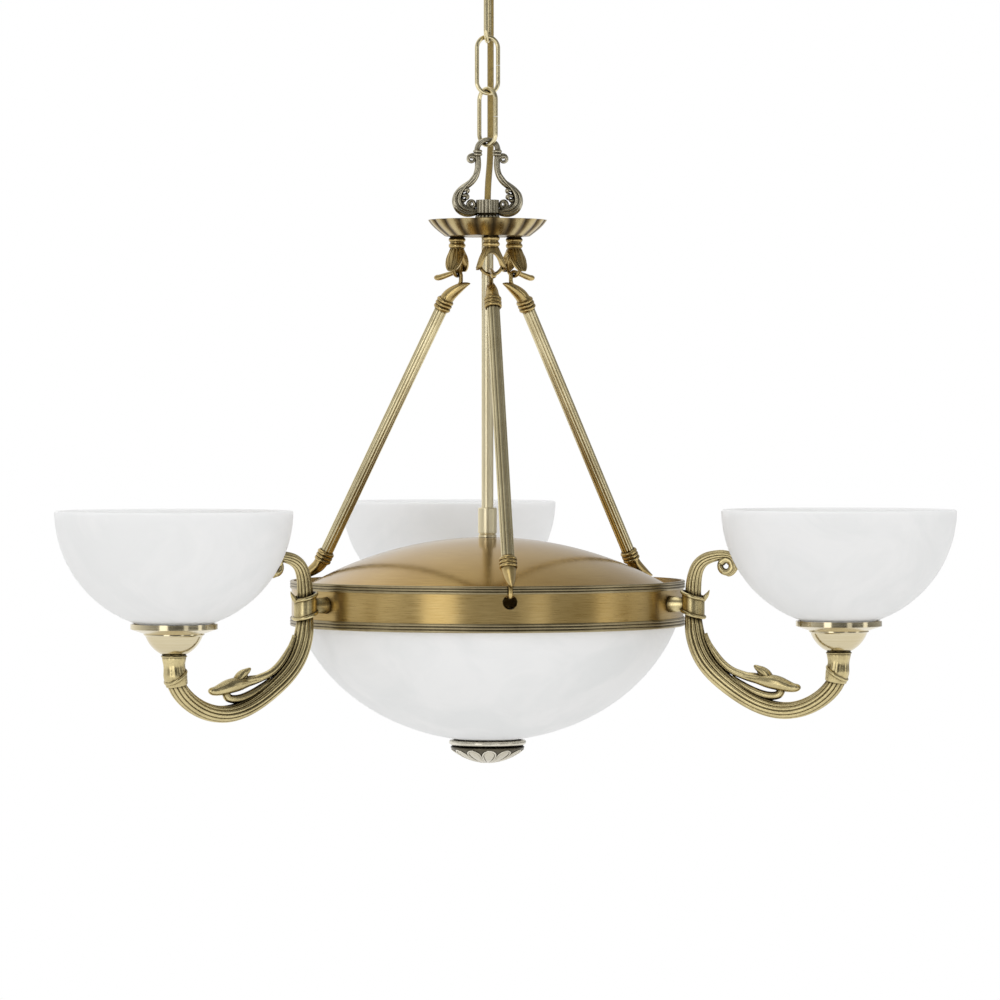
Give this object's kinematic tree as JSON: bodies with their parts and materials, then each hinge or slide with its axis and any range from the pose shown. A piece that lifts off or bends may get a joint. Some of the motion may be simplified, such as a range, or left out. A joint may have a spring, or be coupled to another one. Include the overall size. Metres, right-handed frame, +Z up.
{
  "type": "pendant light",
  "caption": "Antique brass chandelier-style pendant light on a chain, with a glass bowl in a ring and reeded scroll arms that carry open glass shades.",
  "frame": {"origin": "middle of the two ceiling screws, on the ceiling plane", "axes": "+Z up along the screws into the ceiling, +X along the ceiling bracket; one shade points along +Y"},
  "size_m": [0.6988, 0.6298, 0.6823],
  "materials": {
    "antique_brass": "antique, softly polished",
    "dark_brass": "dark patina",
    "plated_steel": "zinc plated",
    "opal_glass": "opal, satin",
    "white_plastic": "moulded",
    "cord_fabric": "braided sleeve",
    "felt": "felt"
  },
  "bodies": {
    "ceiling_fitting": {"ceiling_bracket": "plated_steel", "canopy": "antique_brass", "canopy_loop": "antique_brass", "canopy_locknut": "plated_steel", "cord_bush": "white_plastic", "terminal_block": "white_plastic", "power_cord": "cord_fabric"},
    "chain_link_1": {"chain_link_1": "antique_brass"},
    "chain_link_2": {"chain_link_2": "antique_brass"},
    "chain_link_3": {"chain_link_3": "antique_brass"},
    "lamp": {"lyre_loop": "antique_brass", "dish": "antique_brass", "crown_nipple": "plated_steel", "hanger_front": "antique_brass", "hanger_right": "antique_brass", "hanger_left": "antique_brass", "hanger_nuts": "plated_steel", "rod_front": "antique_brass", "rod_right": "antique_brass", "rod_left": "antique_brass", "rod_top_hook_front": "antique_brass", "rod_top_hook_right": "antique_brass", "rod_top_hook_left": "antique_brass", "rod_bottom_hook_front": "antique_brass", "rod_bottom_hook_right": "antique_brass", "rod_bottom_hook_left": "antique_brass", "stem_tube": "antique_brass", "stem_sleeve": "antique_brass", "dome": "antique_brass", "ring_band": "antique_brass", "upper_trim": "dark_brass", "lower_trim": "dark_brass", "spider": "plated_steel", "centre_rod": "plated_steel", "rod_nuts": "plated_steel", "glass_bowl": "opal_glass", "bowl_felt": "felt", "finial": "antique_brass", "bowl_lampholders": "white_plastic", "bowl_bulbs": "opal_glass", "arm_rear": "antique_brass", "arm_left": "antique_brass", "arm_right": "antique_brass", "arm_clasp_rear": "antique_brass", "arm_clasp_left": "antique_brass", "arm_clasp_right": "antique_brass", "arm_nuts": "plated_steel", "cup_rear": "antique_brass", "cup_left": "antique_brass", "cup_right": "antique_brass", "shade_rear": "opal_glass", "shade_left": "opal_glass", "shade_right": "opal_glass", "lampholder_rear": "white_plastic", "lampholder_left": "white_plastic", "lampholder_right": "white_plastic", "bulb_rear": "opal_glass", "bulb_left": "opal_glass", "bulb_right": "opal_glass", "shade_rings": "white_plastic"}
  },
  "joints": [
    {"name": "link_1_swing", "type": "hinge", "parent": "ceiling_fitting", "child": "chain_link_1", "pos_m": [0, 0, -0.065], "axis": [0.9659, -0.2588, 0], "range_deg": [-15, 15], "deforming": ["power_cord"]},
    {"name": "link_2_swing", "type": "hinge", "parent": "chain_link_1", "child": "chain_link_2", "pos_m": [0, 0, -0.106], "axis": [0.2588, 0.9659, 0], "range_deg": [-15, 15], "deforming": ["power_cord"]},
    {"name": "link_3_swing", "type": "hinge", "parent": "chain_link_2", "child": "chain_link_3", "pos_m": [0, 0, -0.1474], "axis": [0.9659, 0.2588, 0], "range_deg": [-15, 15], "deforming": ["power_cord"]},
    {"name": "lamp_swing", "type": "hinge", "parent": "chain_link_3", "child": "lamp", "pos_m": [0, 0, -0.1888], "axis": [0.6428, -0.766, 0], "range_deg": [-15, 15], "deforming": ["power_cord"]}
  ]
}
